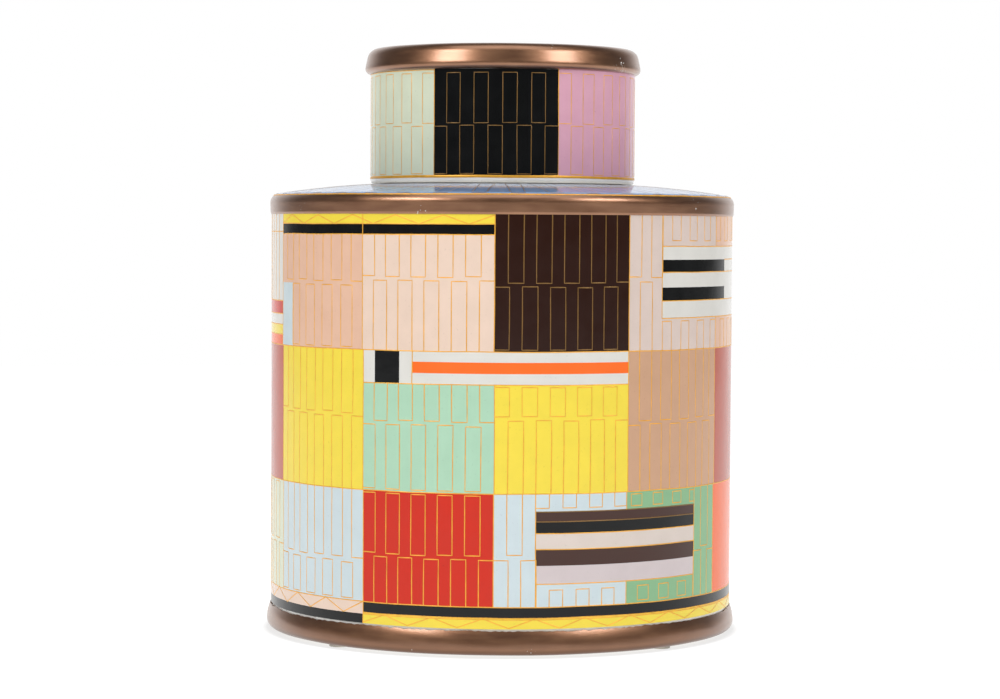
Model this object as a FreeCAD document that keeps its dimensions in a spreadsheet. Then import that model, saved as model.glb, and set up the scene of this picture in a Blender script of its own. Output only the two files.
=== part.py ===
"""Lidded coffee canister in glazed porcelain: a jar with a short neck, and a cap that lifts off it.

Row frame: millimetres, +Z up, origin at the centre of the base on the surface that the canister stands on.
Each sub-part is a solid of revolution about Z, except the four foot pads.

    jar     jar_body, foot_band, shoulder_band, wall_transfer, shoulder_transfer, foot_pad_1 to foot_pad_4
    seal    neck_seal, a silicone ring that lies in the neck's groove and turns with the cap
    lid     lid_shell, lid_rim_band, lid_transfer

The bands are the bronze-lustre layers at the foot, the shoulder and the cap's rim. The transfers are the
sheets of enamel decoration. Both are fired onto the porcelain, and each lies in a rebate that has the
layer's own inner face, so a layer and its porcelain always touch.
"""

import FreeCAD
import Part
import Sketcher

import os
import re

doc = FreeCAD.newDocument("coffee_canister")

# ---------------------------------------------------------------- sizes

SIZES = {
    # jar, outside
    "body_radius": 99.4,  # the decorated wall
    "shoulder_height": 187.4,  # where the shoulder leaves its band
    "shoulder_rise": 4.0,  # from there up to the land that the cap stands on
    "shoulder_crown": 420.0,  # radius of the shoulder's slight dome
    # jar, inside
    "wall": 5.0,
    "floor": 6.0,
    "shoulder_thickness": 6.0,
    "inner_round": 6.0,
    # foot
    "foot_width": 11.0,
    "foot_recess": 4.0,
    "foot_band_height": 9.8,
    "foot_flare": 1.7,  # how far the foot stands out from the wall
    "foot_round": 3.2,
    "foot_cove": 16.0,  # radius of the hollow curve that leads up from it to the wall
    "pad_radius": 4.0,
    "pad_thickness": 1.0,
    # shoulder band
    "shoulder_band_height": 9.0,  # from its lower edge to the top of the round that it ends on
    "shoulder_band_proud": 0.6,
    "shoulder_band_angle": 50.0,  # how far it goes round that corner, in degrees
    "shoulder_round": 4.2,
    "band_thickness": 0.8,
    "transfer_thickness": 0.4,
    # neck and its seal
    "neck_radius": 50.7,
    "neck_height": 31.0,
    "neck_wall": 5.0,
    "neck_lip_round": 2.0,
    "seal_height": 2.8,
    "seal_stand_out": 1.5,  # how far the seal stands out from the neck
    "seal_depth": 1.2,  # how deep it lies in the neck
    "seal_clearance": 0.2,  # seal to its groove, on each face
    "seal_below_lip": 12.0,
    "seal_to_lid": 0.3,
    # cap
    "lid_wall": 4.5,
    "lid_height": 57.8,
    "lid_top_thickness": 5.5,
    "lid_crown": 1000.0,  # radius of the top's slight dome
    "lid_seat_gap": 0.3,
    "lid_lip_round": 1.2,
    "lid_lip_height": 2.8,  # the bare white lip below the cap's transfer
    "lid_inner_round": 5.0,
    "rim_band_height": 10.7,
    "rim_band_proud": 2.4,
    "rim_round": 4.4,
    "rim_under_round": 2.4,
    "rim_lean": 12.0,  # how far the bead's side leans in, in degrees
    "rim_top_width": 3.2,  # the band's width on top of the cap, seen from above
}

sheet = doc.addObject("Spreadsheet::Sheet", "Sizes")
for line, (alias, size) in enumerate(SIZES.items(), start=1):
    sheet.set(f"A{line}", alias)
    sheet.set(f"B{line}", str(size))
    sheet.setAlias(f"B{line}", alias)
doc.recompute()


def named(expression):
    """The expression with each alias in it written as that cell of the sheet."""
    return re.sub(r"[a-z_]+", lambda word: "Sizes." * (word[0] in SIZES) + word[0], expression)


def size_of(expression):
    """The expression's present value, in millimetres."""
    return float(sheet.evalExpression(named(expression)))


# Places that several sub-parts share, as expressions in the sheet's aliases.
FOOT_Z = "pad_thickness"
FLOOR_Z = f"( {FOOT_Z} + foot_recess + floor )"
FOOT_R = "( body_radius + foot_flare )"
SHOULDER_R = "( body_radius + shoulder_band_proud )"
BAND_LOW_Z = "( shoulder_height - shoulder_band_height )"
BEND_Z = "( shoulder_height - shoulder_round )"
BEND_R = f"( {SHOULDER_R} - shoulder_round )"
LAND_Z = "( shoulder_height + shoulder_rise )"
LIP_Z = f"( {LAND_Z} + neck_height )"
SEAL_Z = f"( {LIP_Z} - seal_below_lip )"
SEAL_INNER_R = "( neck_radius - seal_depth )"
SEAL_OUTER_R = "( neck_radius + seal_stand_out )"
LID_BORE_R = f"( {SEAL_OUTER_R} + seal_to_lid )"
LID_R = f"( {LID_BORE_R} + lid_wall )"
LID_LOW_Z = f"( {LAND_Z} + lid_seat_gap )"
LID_TOP_Z = f"( {LID_LOW_Z} + lid_height )"
RIM_R = f"( {LID_R} + rim_band_proud )"
RIM_LOW_Z = f"( {LID_TOP_Z} - rim_band_height )"
RIM_UNDER_Z = f"( {RIM_LOW_Z} + rim_under_round )"
RIM_UNDER_R = f"( {RIM_R} - rim_under_round )"
RIM_BEND_Z = f"( {LID_TOP_Z} - rim_round )"

# The bead's side leans in at this angle from its lower round, and is tangent to its upper one.
LEAN = "( rim_lean * 1 deg )"
LEAN_RISE = f"( {RIM_BEND_Z} - {RIM_UNDER_Z} + ( rim_round - rim_under_round ) * sin{LEAN} )"
LEAN_IN = f"( {LEAN_RISE} * tan{LEAN} )"
RIM_BEND_R = f"( {RIM_UNDER_R} + ( rim_under_round - rim_round ) * cos{LEAN} - {LEAN_IN} )"
RIM_TOP_R = f"( {RIM_BEND_R} - rim_top_width )"

# The shoulder band ends at this angle of its round, and its transfer starts where the round ends.
TURN = "( shoulder_band_angle * 1 deg )"
LAND_R = f"( {LID_R} + lid_lip_round )"

# ---------------------------------------------------------------- how a sub-part is made


def new_body(name):
    body = doc.addObject("PartDesign::Body", name)
    body.Label = name
    return body


def origin_plane(body, role):
    return next(item for item in body.Origin.OriginFeatures if item.Role == role)


def arc_between(start, end, radius, turn):
    """The arc of that radius from start to end. It turns left with turn 1 and right with turn -1."""
    chord = end - start
    half = chord.Length / 2
    to_centre = (max(radius**2 - half**2, 0.0)) ** 0.5
    left = FreeCAD.Vector(-chord.y, chord.x, 0).normalize()
    centre = (start + end) / 2 + left * (to_centre * turn)
    circle = Part.Circle(centre, FreeCAD.Vector(0, 0, 1), radius)
    first, last = (start, end) if turn > 0 else (end, start)
    return Part.ArcOfCircle(circle, circle.parameter(first), circle.parameter(last))


def outline(body, name, corners):
    """A closed, fully constrained sketch of half the section: x is the radius and y the height.

    Each corner is (label, radius, height) or, where an arc leads to the next corner, also that arc's
    radius and 1 or -1 for a left or right turn. Every size is an expression in the sheet's aliases.
    """
    sketch = body.newObject("Sketcher::SketchObject", name)
    sketch.AttachmentSupport = (origin_plane(body, "XZ_Plane"), [""])
    sketch.MapMode = "FlatFace"
    places = [FreeCAD.Vector(size_of(c[1]), size_of(c[2]), 0) for c in corners]
    starts, ends = [], []
    for index, corner in enumerate(corners):
        here, there = places[index], places[(index + 1) % len(places)]
        if len(corner) == 3:
            sketch.addGeometry(Part.LineSegment(here, there), False)
            starts.append(1)
        else:
            radius, turn = corner[3:]
            sketch.addGeometry(arc_between(here, there, size_of(radius), turn), False)
            starts.append(1 if turn > 0 else 2)
        ends.append(3 - starts[-1])
    for index, corner in enumerate(corners):
        following = (index + 1) % len(corners)
        joined = (index, ends[index], following, starts[following])
        sketch.addConstraint(Sketcher.Constraint("Coincident", *joined))
        for kind, letter, size in (("DistanceX", "r", corner[1]), ("DistanceY", "z", corner[2])):
            bind(sketch, (kind, -1, 1, index, starts[index]), f"{corner[0]}_{letter}", size)
        if len(corner) > 3:
            bind(sketch, ("Radius", index), f"{corner[0]}_arc", corner[3])
    return sketch


def bind(sketch, what, label, size):
    """Adds a dimension and ties it to the sheet. A corner on the axis has no radius to tie."""
    value = size_of(size)
    if what[0] == "DistanceX" and value == 0:
        sketch.addConstraint(Sketcher.Constraint("PointOnObject", what[3], what[4], -2))
        return
    index = sketch.addConstraint(Sketcher.Constraint(*what, value))
    sketch.renameConstraint(index, label)
    sketch.setExpression(f"Constraints.{label}", named(size))


def turned(body, name, corners):
    """Adds the outline, revolved about Z."""
    revolution = body.newObject("PartDesign::Revolution", name)
    revolution.Profile = outline(body, f"{name}_outline", corners)
    revolution.ReferenceAxis = (revolution.Profile[0], ["V_Axis"])
    revolution.Angle = 360
    return revolution


def turned_out(body, name, corners):
    """Cuts the outline, revolved about Z, out of the body, and makes sure that it cut something."""
    doc.recompute()
    before = body.Shape.Volume
    groove = body.newObject("PartDesign::Groove", name)
    groove.Profile = outline(body, f"{name}_outline", corners)
    groove.ReferenceAxis = (groove.Profile[0], ["V_Axis"])
    groove.Angle = 360
    doc.recompute()
    if not body.Shape.Volume < before - 1:
        raise RuntimeError(f"{name} cut nothing out of {body.Label}")
    return groove


def rounded(body, name, rings, radius):
    """Fillets the round edges that lie at each (radius, height) in rings."""
    doc.recompute()
    places = [(size_of(ring_radius), size_of(height)) for ring_radius, height in rings]
    edges = []
    for number, edge in enumerate(body.Shape.Edges, start=1):
        if edge.Degenerated or not edge.Closed or not isinstance(edge.Curve, Part.Circle):
            continue
        found = (edge.Curve.Radius, edge.Curve.Center.z)
        if any(abs(found[0] - r) < 0.01 and abs(found[1] - z) < 0.01 for r, z in places):
            edges.append(f"Edge{number}")
    if len(edges) != len(rings):
        raise RuntimeError(f"{name} found {len(edges)} of {len(rings)} edges on {body.Label}")
    last_feature = body.Tip
    fillet = body.newObject("PartDesign::Fillet", name)
    fillet.Base = (last_feature, edges)
    fillet.setExpression("Radius", named(radius))
    return fillet


# ---------------------------------------------------------------- jar


def foot_curve(inset):
    """Corners of the foot's outside, from its underside up to the wall, moved in by inset."""
    return [
        ("foot_under", f"{FOOT_R} - foot_round", f"{FOOT_Z} + {inset}", f"foot_round - {inset}", 1),
        ("foot_out", f"{FOOT_R} - {inset}", f"{FOOT_Z} + foot_round", f"foot_cove + {inset}", -1),
        ("foot_top", f"body_radius - {inset}", f"{FOOT_Z} + foot_band_height"),
    ]


def shoulder_curve(inset):
    """Corners of the shoulder's round, from the band's lower edge to its upper one, moved in by inset."""
    radius = f"( shoulder_round - {inset} )"
    return [
        ("band_low", f"{SHOULDER_R} - {inset}", BAND_LOW_Z),
        ("band_bend", f"{SHOULDER_R} - {inset}", BEND_Z, radius, 1),
        ("band_top", f"{BEND_R} + {radius} * cos{TURN}", f"{BEND_Z} + {radius} * sin{TURN}"),
    ]


def dome_curve(inset):
    """Corners of the shoulder's low dome, from the end of its round to the land, lowered by inset."""
    return [
        ("dome_low", BEND_R, f"shoulder_height - {inset}", "shoulder_crown", 1),
        ("dome_high", LAND_R, f"{LAND_Z} - {inset}"),
    ]


def make_jar_body():
    """Slip-cast porcelain: wall, floor, recessed foot, low domed shoulder and straight neck."""
    body = new_body("jar_body")
    turned(
        body,
        "outside",
        [("floor_middle", "0", FOOT_Z)]
        + [("foot_inside", f"{FOOT_R} - foot_round", FOOT_Z)]
        + foot_curve("band_thickness")
        + [("wall_foot", "body_radius - transfer_thickness", f"{FOOT_Z} + foot_band_height")]
        + [("wall_top", "body_radius - transfer_thickness", BAND_LOW_Z)]
        + shoulder_curve("band_thickness")
        + [("round_low", *shoulder_curve("0")[-1][1:], "shoulder_round", 1)]
        + [("round_high", BEND_R, "shoulder_height")]
        + dome_curve("transfer_thickness")
        + [("land_out", LAND_R, LAND_Z), ("neck_foot", "neck_radius", LAND_Z)]
        + [("neck_top", "neck_radius", LIP_Z), ("top_middle", "0", LIP_Z)],
    )
    inner_top = f"{LAND_Z} - shoulder_thickness"
    turned_out(
        body,
        "cavity",
        [
            ("cavity_floor", "0", FLOOR_Z),
            ("cavity_corner", "body_radius - wall - inner_round", FLOOR_Z, "inner_round", 1),
            ("cavity_wall", "body_radius - wall", f"{FLOOR_Z} + inner_round"),
            ("cavity_top", "body_radius - wall", f"{inner_top} - 2 * inner_round", "2 * inner_round", 1),
            ("cavity_ceiling", "body_radius - wall - 2 * inner_round", inner_top),
            ("mouth_low", "neck_radius - neck_wall", inner_top),
            ("mouth_high", "neck_radius - neck_wall", f"{LIP_Z} + wall"),
            ("mouth_axis", "0", f"{LIP_Z} + wall"),
        ],
    )
    turned_out(
        body,
        "foot_hollow",
        [
            ("hollow_middle", "0", f"{FOOT_Z} - foot_recess"),
            ("hollow_side", "body_radius - foot_width", f"{FOOT_Z} - foot_recess"),
            ("hollow_corner", "body_radius - foot_width", f"{FOOT_Z} + foot_recess"),
            ("hollow_top", "0", f"{FOOT_Z} + foot_recess"),
        ],
    )
    groove_low = f"{SEAL_Z} - seal_height / 2 - seal_clearance"
    groove_high = f"{SEAL_Z} + seal_height / 2 + seal_clearance"
    turned_out(
        body,
        "seal_groove",
        [
            ("groove_in_low", f"{SEAL_INNER_R} - seal_clearance", groove_low),
            ("groove_out_low", "neck_radius + seal_clearance", groove_low),
            ("groove_out_high", "neck_radius + seal_clearance", groove_high),
            ("groove_in_high", f"{SEAL_INNER_R} - seal_clearance", groove_high),
        ],
    )
    lip = [("neck_radius", LIP_Z), ("neck_radius - neck_wall", LIP_Z)]
    rounded(body, "lip_round", lip, "neck_lip_round")
    return body


def make_band(name, outer, inner):
    """A band between its outer and inner corners, which run the same way along the section."""
    body = new_body(name)
    outside = [(f"out_{c[0]}", *c[1:]) for c in outer]
    inside = []
    for index in range(len(inner) - 1, -1, -1):
        corner = (f"in_{inner[index][0]}", *inner[index][1:3])
        leading = inner[index - 1]
        if index and len(leading) > 3:
            corner += (leading[3], -leading[4])
        inside.append(corner)
    turned(body, "band", outside + inside)
    return body


def make_wall_transfer():
    """The decoration of the straight wall, from the foot band up to the shoulder band."""
    low, high = f"{FOOT_Z} + foot_band_height", BAND_LOW_Z
    return make_sleeve("wall_transfer", "body_radius", low, high)


def make_shoulder_transfer():
    return make_band("shoulder_transfer", dome_curve("0"), dome_curve("transfer_thickness"))


def make_lid_transfer():
    """The decoration of the cap's skirt, from its bare lip up to the bead."""
    low = f"{LID_LOW_Z} + lid_lip_height"
    return make_sleeve("lid_transfer", LID_R, low, RIM_LOW_Z)


def make_sleeve(name, radius, low, high):
    """A straight transfer whose outer face has that radius."""
    outer = [("low", radius, low), ("high", radius, high)]
    inner = [("low", f"{radius} - transfer_thickness", low), ("high", f"{radius} - transfer_thickness", high)]
    return make_band(name, outer, inner)


def make_foot_pads():
    """Four felt discs under the foot ring, on the middle of its width."""
    pads = []
    count = 4
    for number in range(count):
        body = new_body(f"foot_pad_{number + 1}")
        sketch = body.newObject("Sketcher::SketchObject", f"pad_{number + 1}_outline")
        sketch.AttachmentSupport = (origin_plane(body, "XY_Plane"), [""])
        sketch.MapMode = "FlatFace"
        round_edge = Part.Circle(FreeCAD.Vector(), FreeCAD.Vector(0, 0, 1), SIZES["pad_radius"])
        sketch.addGeometry(round_edge, False)
        sketch.addConstraint(Sketcher.Constraint("Coincident", 0, 3, -1, 1))
        bind(sketch, ("Radius", 0), "pad_edge", "pad_radius")
        disc = body.newObject("PartDesign::Pad", f"pad_{number + 1}_disc")
        disc.Profile = sketch
        disc.setExpression("Length", named("pad_thickness"))
        angle = 360 * (number + 0.5) / count
        reach = named("( body_radius - foot_width / 2 )")
        body.setExpression("Placement.Base.x", f"{reach} * cos({angle} deg)")
        body.setExpression("Placement.Base.y", f"{reach} * sin({angle} deg)")
        pads.append(body)
    return pads


def make_neck_seal():
    """Silicone ring with a rounded outer face, which lies in the neck's groove."""
    body = new_body("neck_seal")
    shoulder_r = f"{SEAL_OUTER_R} - seal_height / 4"
    low, high = f"{SEAL_Z} - seal_height / 2", f"{SEAL_Z} + seal_height / 2"
    turned(
        body,
        "ring",
        [
            ("seal_in_low", SEAL_INNER_R, low),
            ("seal_out_low", shoulder_r, low, "seal_height / 4", 1),
            ("seal_face_low", SEAL_OUTER_R, f"{low} + seal_height / 4"),
            ("seal_face_high", SEAL_OUTER_R, f"{high} - seal_height / 4", "seal_height / 4", 1),
            ("seal_out_high", shoulder_r, high),
            ("seal_in_high", SEAL_INNER_R, high),
        ],
    )
    return body


# ---------------------------------------------------------------- cap


def rim_curve(inset):
    """Corners of the cap's rim, from under its bead, round it and on to its top, moved in by inset."""
    under, bend = f"( rim_under_round - {inset} )", f"( rim_round - {inset} )"
    return [
        ("rim_under", RIM_UNDER_R, f"{RIM_LOW_Z} + {inset}", under, 1),
        ("rim_out", f"{RIM_UNDER_R} + {under} * cos{LEAN}", f"{RIM_UNDER_Z} + {under} * sin{LEAN}"),
        ("rim_bend", f"{RIM_BEND_R} + {bend} * cos{LEAN}", f"{RIM_BEND_Z} + {bend} * sin{LEAN}", bend, 1),
        ("rim_top", RIM_BEND_R, f"{LID_TOP_Z} - {inset}"),
        ("rim_in", RIM_TOP_R, f"{LID_TOP_Z} - {inset}"),
    ]


def make_lid_shell():
    """Slip-cast porcelain cap: straight skirt, beaded rim and slightly domed top."""
    body = new_body("lid_shell")
    turned(
        body,
        "outside",
        [("base_middle", "0", LID_LOW_Z), ("skirt_low", LID_R, LID_LOW_Z)]
        + [("lip_high", LID_R, f"{LID_LOW_Z} + lid_lip_height")]
        + [("skirt_inset", f"{LID_R} - transfer_thickness", f"{LID_LOW_Z} + lid_lip_height")]
        + [("bead_root", f"{LID_R} - transfer_thickness", RIM_LOW_Z)]
        + [("bead_under", RIM_UNDER_R, RIM_LOW_Z)]
        + rim_curve("band_thickness")
        + [("top_edge", RIM_TOP_R, LID_TOP_Z, "lid_crown", 1)]
        + [("top_middle", "0", f"{LID_TOP_Z} + lid_crown - sqrt(lid_crown ^ 2 - {RIM_TOP_R} ^ 2)")],
    )
    ceiling = f"{LID_TOP_Z} - lid_top_thickness"
    turned_out(
        body,
        "hollow",
        [
            ("hollow_axis_low", "0", f"{LID_LOW_Z} - lid_wall"),
            ("hollow_low", LID_BORE_R, f"{LID_LOW_Z} - lid_wall"),
            ("hollow_high", LID_BORE_R, f"{ceiling} - lid_inner_round", "lid_inner_round", 1),
            ("hollow_ceiling", f"{LID_BORE_R} - lid_inner_round", ceiling),
            ("hollow_axis_high", "0", ceiling),
        ],
    )
    rounded(body, "lip_round", [(LID_R, LID_LOW_Z), (LID_BORE_R, LID_LOW_Z)], "lid_lip_round")
    return body


# ---------------------------------------------------------------- build, check and write


def check(parts):
    """Stops on a failed object, or on a sub-part that isn't whole, valid, closed solids."""
    for item in doc.Objects:
        if {"Invalid", "Error"} & set(item.State):
            raise RuntimeError(f"{item.Label} failed: {item.State}")
    for part in parts:
        shape = part.Shape
        if shape.isNull() or not shape.isValid() or not shape.Solids:
            raise RuntimeError(f"{part.Label} has no valid solid")
        print(f"{part.Label}: {len(shape.Solids)} solid, {shape.Volume / 1000:.2f} cm3")


def main():
    parts = [make_jar_body()]
    parts.append(make_band("foot_band", foot_curve("0"), foot_curve("band_thickness")))
    parts.append(make_band("shoulder_band", shoulder_curve("0"), shoulder_curve("band_thickness")))
    parts.append(make_wall_transfer())
    parts.append(make_shoulder_transfer())
    parts += make_foot_pads()
    parts.append(make_neck_seal())
    parts.append(make_lid_shell())
    parts.append(make_band("lid_rim_band", rim_curve("0"), rim_curve("band_thickness")))
    parts.append(make_lid_transfer())
    doc.recompute()
    check(parts)
    os.makedirs("parts", exist_ok=True)
    for part in parts:
        part.Shape.exportStep(f"parts/{part.Label}.step")


main()
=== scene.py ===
"""A squat porcelain coffee canister with a lift-off cap.

White glazed porcelain carries three brushed bands of bronze lustre. Between them lie fired enamel fields
in a brick-like plan of columns and rows, and every field is divided by fine raised lines of gold.
Lengths are in millimetres until they reach a mesh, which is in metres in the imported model's own frame.
"""

import math
import random

import bpy
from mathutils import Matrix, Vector, noise


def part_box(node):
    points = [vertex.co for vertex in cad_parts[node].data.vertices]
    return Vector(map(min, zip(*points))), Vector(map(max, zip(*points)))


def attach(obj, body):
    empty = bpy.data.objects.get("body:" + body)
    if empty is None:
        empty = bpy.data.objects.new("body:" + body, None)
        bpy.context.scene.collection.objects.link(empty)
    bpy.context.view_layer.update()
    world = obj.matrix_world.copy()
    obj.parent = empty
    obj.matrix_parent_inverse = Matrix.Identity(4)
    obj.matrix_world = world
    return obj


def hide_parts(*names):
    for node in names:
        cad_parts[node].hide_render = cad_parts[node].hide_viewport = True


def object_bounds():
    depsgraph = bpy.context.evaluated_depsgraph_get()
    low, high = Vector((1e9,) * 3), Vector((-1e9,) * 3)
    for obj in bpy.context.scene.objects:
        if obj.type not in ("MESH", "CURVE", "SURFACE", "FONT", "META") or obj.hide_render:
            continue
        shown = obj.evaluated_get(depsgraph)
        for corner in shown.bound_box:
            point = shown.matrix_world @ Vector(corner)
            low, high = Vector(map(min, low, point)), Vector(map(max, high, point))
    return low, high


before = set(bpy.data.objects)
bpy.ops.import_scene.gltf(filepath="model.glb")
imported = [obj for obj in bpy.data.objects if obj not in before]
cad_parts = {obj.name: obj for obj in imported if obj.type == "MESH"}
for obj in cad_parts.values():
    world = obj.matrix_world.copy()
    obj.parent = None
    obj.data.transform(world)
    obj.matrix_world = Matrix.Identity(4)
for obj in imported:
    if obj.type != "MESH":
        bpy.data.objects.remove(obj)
cad_low, cad_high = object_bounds()

MM = 0.001
chance = random.Random(11)


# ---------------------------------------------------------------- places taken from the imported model


def reach(node):
    """The largest radius, lowest and highest place of a round node, in millimetres."""
    low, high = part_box(node)
    return high[0] / MM, low[2] / MM, high[2] / MM


WALL_R, WALL_LOW, WALL_TOP = reach("wall_transfer")
FOOT_R, FOOT_LOW, FOOT_TOP = reach("foot_band")
SHOULDER_R, BAND_LOW, BAND_TOP = reach("shoulder_band")
DOME_R, DOME_UNDER, DOME_TOP = reach("shoulder_transfer")
CAP_R, CAP_LOW, CAP_TOP = reach("lid_transfer")
RIM_R, RIM_LOW, RIM_TOP = reach("lid_rim_band")

# ---------------------------------------------------------------- sizes, in millimetres and degrees

ENAMEL = 0.39  # enamel and its ground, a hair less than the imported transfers
LUSTRE = 0.40  # lustre and the slip under it
FOOT_LUSTRE = 0.9  # the same at the foot, where the bead is fuller
FOOT_ROUND = 3.2  # radius under the foot's widest place
FOOT_RISE = 0.9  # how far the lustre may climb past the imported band, before its frayed edge is cut back

SHOULDER_ROUND = SHOULDER_R - DOME_R
SHOULDER_TURN = 50.0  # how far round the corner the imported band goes
LUSTRE_TURN = 48.0  # and the brushed lustre, which the enamel laps over
LUSTRE_OVER = 0.07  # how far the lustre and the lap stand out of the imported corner
DOME_LOW = DOME_UNDER + 0.4
DOME_CROWN = 420.0  # radius of the dome's outline
DOME_IN = CAP_R + 1.2

RIM_ROUND = 4.4  # radius of the bead on the cap, at its top
RIM_UNDER = 2.4  # and at its underside
RIM_LEAN = 12.0  # how far the bead's side leans in
RIM_WIDTH = 3.2  # how far the lustre goes in over the top

# The wall is laid out in rows, 1 to 3 from the top, and columns, with column 0 just right of the front.
# A stave is a tenth of a column. Each row was laid by hand, so its sizes are its own.
STAVES = 10
FIRST_COLUMN, LAST_COLUMN = -5, 5
FRONT_EDGE = {1: -1.65, 2: -1.5, 3: -1.6}  # the angle of column 0's left edge
PITCH = {1: 3.30, 2: 3.28, 3: 3.26}  # the angle that a stave takes
ROW_LOW = {1: 123.3, 2: 66.3, 3: 20.6}
ROW_HIGH = {1: WALL_TOP, 2: ROW_LOW[1], 3: ROW_LOW[2]}
ROW_SPLIT = {1: 151.3, 2: 95.4, 3: 39.7}  # where upper and lower staves meet
SPLIT_SHIFT = {1: 1.0, 2: 1.2, 3: 0.5}  # how far that goes up and down from column to column
SPLIT_GAP = 1.7  # between an upper stave's foot and a lower one's head
CLOSE_BY = 0.9  # between a closed stave's end and the edge of its row
OVERLAP = 0.05  # how much a stave laps over its neighbour, as a share of its width
SLIP = 0.3  # how far a stave's end misses its place, at most
BORDER_GAP = 0.4  # between a zigzag's points and the edge of its border
WALL_EDGE = WALL_LOW + 0.95

# Heights of what breaks the staves. Bars and layers are each an enamel with its top, from the top down.
HEAD_MIDDLE, HEAD_LOW = 174.4, 170.1  # the foot of the yellow border and of the black bar under it
INSET_TOP = 149.7  # the sky blue inset beside the tan column
STRIPES = [("white", WALL_TOP), ("red", 141.9), ("white", 136.4), ("yellow", 131.9), ("coral", 127.7)]
STRIPES_LINE = 171.0  # a gold line across the white above the stripes
PANEL_TOP, PANEL_LOW = 165.8, 136.4
PANEL_HEAD_GAP, PANEL_FOOT_GAP = 2.3, 1.2  # between the barred panel and the staves above and below it
PANEL_BARS = [("white", PANEL_TOP), ("black", 160.3), ("white", 155.2), ("black", 149.0), ("white", 143.5)]
STRIP_BAR_HIGH, STRIP_BAR_LOW, STRIP_LOW = 119.0, 114.45, 110.0
LAYERS = [("brown", 59.1), ("black", 55.1), ("shell", 50.3), ("brown", 43.9), ("lilac", 37.3), ("", 29.9)]
LAYERS_TOP, LAYERS_LOW = LAYERS[0][1], LAYERS[-1][1]
LAYERS_HEAD_GAP, LAYERS_FOOT_GAP = 1.5, 2.4  # the same at the layered panel
FOOT_LINE = 16.2  # where the black line and the yellow border above the foot meet
BACK_FOOT_LINE = 15.6  # and where they meet at the back, the other way up

# Columns of one enamel, by row and column, with the ends at which their staves are closed. A plain one
# has no staves.
PLAIN_COLUMNS = {
    (1, -5): ("cocoa", "low"),
    (1, -4): ("sky", ""),
    (1, 0): ("cocoa", "low"),
    (1, 3): ("mint", ""),
    (1, 4): ("coral", "low"),
    (1, 5): ("yellow", ""),
    (2, -5): ("clay", ""),
    (2, -4): ("mint", "low"),
    (2, -3): ("rose", "plain"),
    (2, -2): ("yellow", ""),
    (2, 1): ("clay", ""),
    (2, 2): ("rose", "plain"),
    (2, 3): ("yellow", "low"),
    (2, 4): ("sky", "high"),
    (2, 5): ("cocoa", ""),
    (3, -5): ("coral", "plain"),
    (3, -4): ("yellow", "low"),
    (3, -3): ("pale_mint", "high"),
    (3, -2): ("sky", "low"),
    (3, -1): ("red", "high"),
    (3, 2): ("coral", "plain"),
    (3, 3): ("sky", "low"),
    (3, 4): ("clay", "high"),
    (3, 5): ("green", "low"),
}
LOWERED_SPLIT = {(3, -2): -2.0}  # a column whose staves meet lower than its row's

# The stretches of a column's left border that are drawn, where a panel or strip crosses it.
BROKEN_BORDERS = {
    (1, 2): [(ROW_LOW[1], PANEL_LOW), (PANEL_TOP, WALL_TOP)],
    (2, 0): [(ROW_LOW[2], STRIP_LOW)],
    (3, 1): [(ROW_LOW[3], LAYERS_LOW), (LAYERS_TOP, ROW_HIGH[3])],
}

# The shoulder's staves: how many, the first one's middle, and their width.
DOME_STAVES = 39
DOME_FIRST = -5.45
DOME_STAVE = 5.9
DOME_LAP = 2.7  # how far the enamel goes out over the rounded corner

# The cap's staves: their width and the first one's left edge in degrees, and the height that divides them.
CAP_STAVE = 6.0
CAP_COUNT = round(360 / CAP_STAVE)
CAP_FIRST = -30.0
CAP_SPLIT = 215.9
CAP_BLOCKS = [
    ("black", 0, 9),
    ("orchid", 9, 20),
    ("yellow", 20, 28),
    ("cocoa", 28, 37),
    ("pale_mint", 37, CAP_COUNT),
]

LINE_WIDTH = 0.42
CAP_LINE_WIDTH = 0.36
RIM_LINE_WIDTH = 0.8
HEM_LINE_WIDTH = 1.1
LINE_WANDER = 0.5  # how far the hand strays, at most
LINE_STEP = 14.0  # the longest run up or down between two points of a line
LINE_PROUD = 0.07
DOME_LINE_PROUD = 0.03
STOUT_LINE_PROUD = 0.15

# The studio. The camera's place and the floor's radius are in metres.
LENS = 106.3
CAMERA_PLACE = (0.0, -1.28, 0.17278)
CAMERA_DIP, CAMERA_ROLL, CAMERA_PAN = 2.35, -0.33, 0.04
FLOOR_RADIUS = 2.4
CONTACT_SHADE = 0.72  # the floor's brightness against the foot
CONTACT_WIDTH = 3.5  # millimetres from the foot to the full brightness


# ---------------------------------------------------------------- materials


def linear(code):
    """Turns an sRGB hex colour into the linear one that a shader takes."""
    levels = [int(code[i : i + 2], 16) / 255 for i in (1, 3, 5)]
    return [v / 12.92 if v <= 0.04045 else ((v + 0.055) / 1.055) ** 2.4 for v in levels] + [1.0]


def add(tree, kind, inputs=None, **settings):
    """Adds a node, sets it up, and sets or links its inputs."""
    node = tree.nodes.new(kind)
    for name, value in settings.items():
        setattr(node, name, value)
    for name, value in (inputs or {}).items():
        if isinstance(value, bpy.types.NodeSocket):
            tree.links.new(value, node.inputs[name])
        else:
            node.inputs[name].default_value = value
    return node


def blank(name):
    """A new material with an empty node tree, and its tree."""
    material = bpy.data.materials.new(name)
    material.use_nodes = True
    material.node_tree.nodes.clear()
    return material, material.node_tree


def finish_material(tree, **sockets):
    """Adds the shader with its sockets, named with _ for a space, and the output."""
    shader = add(tree, "ShaderNodeBsdfPrincipled", {k.replace("_", " "): v for k, v in sockets.items()})
    add(tree, "ShaderNodeOutputMaterial", {"Surface": shader.outputs[0]})


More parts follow.
